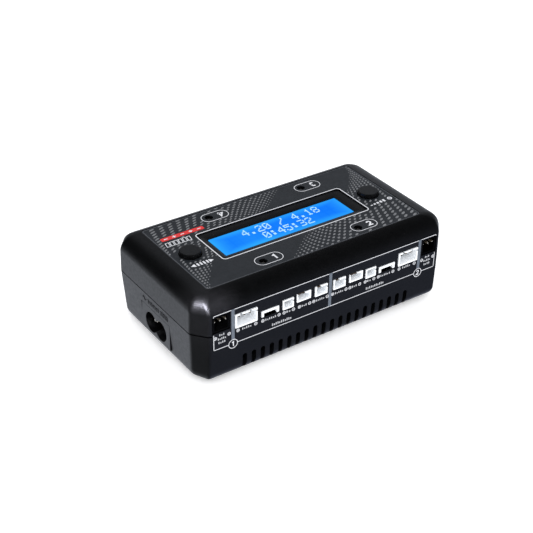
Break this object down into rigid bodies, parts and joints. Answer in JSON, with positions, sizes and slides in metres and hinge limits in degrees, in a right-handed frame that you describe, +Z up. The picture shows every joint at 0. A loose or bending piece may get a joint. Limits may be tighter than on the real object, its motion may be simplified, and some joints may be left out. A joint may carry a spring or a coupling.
{
  "type": "balance battery charger",
  "caption": "Bench balance charger: black two-part shell, blue display between two round buttons, battery sockets along front and back, mains inlet on one end.",
  "frame": {"origin": "on the standing surface, under the middle of the bounding box", "axes": "+X along the length away from the mains inlet, -Y the front with channels 1 and 2, +Z up"},
  "size_m": [0.1242, 0.0678, 0.0417],
  "materials": {
    "shell_plastic": "fine satin moulded texture",
    "satin_plastic": "satin",
    "label_film": "printed satin film",
    "white_nylon": "satin",
    "blue_screen": "lit, glossy",
    "board_laminate": "lacquered",
    "foot_rubber": "matte",
    "screw_steel": "blackened",
    "pin_metal": "nickel plated",
    "lamp_plastic": "clear, unlit",
    "ferrite": "matt sintered",
    "coil_tape": "polyester tape",
    "capacitor_sleeve": "shrink sleeve",
    "fuse_ceramic": "glazed ceramic with end caps",
    "heatsink_aluminium": "extruded"
  },
  "bodies": {
    "charger": {"upper_shell": "shell_plastic", "lower_shell": "shell_plastic", "top_label": "label_film", "front_label": "label_film", "rear_label": "label_film", "display_screen": "blue_screen", "display_backlight": "white_nylon", "control_board": "board_laminate", "main_board": "board_laminate", "power_board": "board_laminate", "mains_inlet": "satin_plastic", "live_pin": "pin_metal", "neutral_pin": "pin_metal", "transformer_core": "ferrite", "transformer_coil": "coil_tape", "bulk_capacitor": "capacitor_sleeve", "mains_fuse": "fuse_ceramic", "heatsink": "heatsink_aluminium", "left_switch_body": "satin_plastic", "right_switch_body": "satin_plastic", "channel_1_lamp": "lamp_plastic", "case_screw_1": "screw_steel", "rubber_foot_1": "foot_rubber", "channel_2_lamp": "lamp_plastic", "case_screw_2": "screw_steel", "rubber_foot_2": "foot_rubber", "channel_3_lamp": "lamp_plastic", "case_screw_3": "screw_steel", "rubber_foot_3": "foot_rubber", "channel_4_lamp": "lamp_plastic", "case_screw_4": "screw_steel", "rubber_foot_4": "foot_rubber", "channel_1_pack_socket": "satin_plastic", "channel_1_balance_socket": "white_nylon", "channel_1_slim_socket": "white_nylon", "channel_1_latch_socket": "white_nylon", "channel_1_open_socket": "white_nylon", "channel_1_small_socket": "white_nylon", "channel_2_pack_socket": "satin_plastic", "channel_2_balance_socket": "white_nylon", "channel_2_slim_socket": "white_nylon", "channel_2_latch_socket": "white_nylon", "channel_2_open_socket": "white_nylon", "channel_2_small_socket": "white_nylon", "channel_3_pack_socket": "satin_plastic", "channel_3_balance_socket": "white_nylon", "channel_3_slim_socket": "white_nylon", "channel_3_latch_socket": "white_nylon", "channel_3_open_socket": "white_nylon", "channel_3_small_socket": "white_nylon", "channel_4_pack_socket": "satin_plastic", "channel_4_balance_socket": "white_nylon", "channel_4_slim_socket": "white_nylon", "channel_4_latch_socket": "white_nylon", "channel_4_open_socket": "white_nylon", "channel_4_small_socket": "white_nylon"},
    "left_button": {"left_button_cap": "satin_plastic", "left_switch_plunger": "satin_plastic"},
    "right_button": {"right_button_cap": "satin_plastic", "right_switch_plunger": "satin_plastic"}
  },
  "joints": [
    {"name": "left_button_press", "type": "slide", "parent": "charger", "child": "left_button", "axis": [0, 0, -1], "range_m": [0, 0.0005], "stiffness_N_per_m": 3000},
    {"name": "right_button_press", "type": "slide", "parent": "charger", "child": "right_button", "axis": [0, 0, -1], "range_m": [0, 0.0005], "stiffness_N_per_m": 3000}
  ]
}
